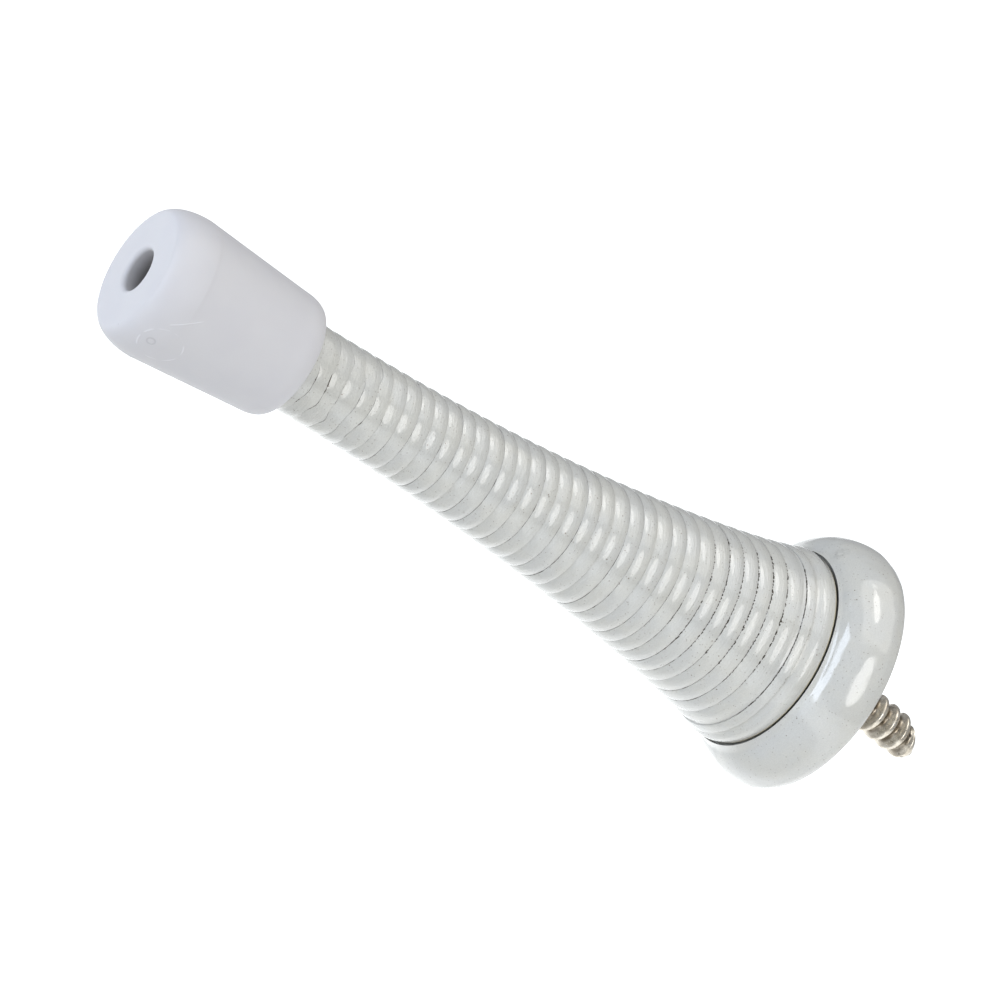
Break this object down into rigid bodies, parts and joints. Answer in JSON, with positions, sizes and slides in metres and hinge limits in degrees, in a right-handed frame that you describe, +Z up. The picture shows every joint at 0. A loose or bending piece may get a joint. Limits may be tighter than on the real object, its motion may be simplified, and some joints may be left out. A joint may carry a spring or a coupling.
{
  "type": "spring door stop",
  "caption": "Flexible door stop: a flared close-wound spring with a soft push-on bumper on a round screw-on wall flange.",
  "frame": {"origin": "centre of the flange's flat back, on the wall plane", "axes": "+Y into the wall along the screw, -Y out along the stop towards the bumper, +Z up"},
  "size_m": [0.0252, 0.0938, 0.0252],
  "materials": {
    "bumper_vinyl": "soft matte moulded white vinyl",
    "painted_spring": "glossy off-white paint over close-wound steel wire",
    "painted_flange": "glossy off-white paint with small specks",
    "anchor_metal": "plain turned metal, hidden in use",
    "screw_steel": "nickel-coloured plated steel thread"
  },
  "bodies": {
    "base": {"base_flange": "painted_flange", "spring_anchor": "anchor_metal", "wood_screw": "screw_steel"},
    "spring": {"spring": "painted_spring"},
    "bumper": {"bumper": "bumper_vinyl"}
  },
  "joints": [
    {"name": "spring_bend", "type": "hinge", "parent": "base", "child": "spring", "pos_m": [0, -0.022, -0.0006], "axis": [1, 0, 0], "range_deg": [-45, 45], "stiffness_Nm_per_rad": 0.8, "deforming": ["spring"]},
    {"name": "bumper_pull_off", "type": "slide", "parent": "spring", "child": "bumper", "axis": [0, -1, 0], "range_m": [0, 0.014]}
  ]
}
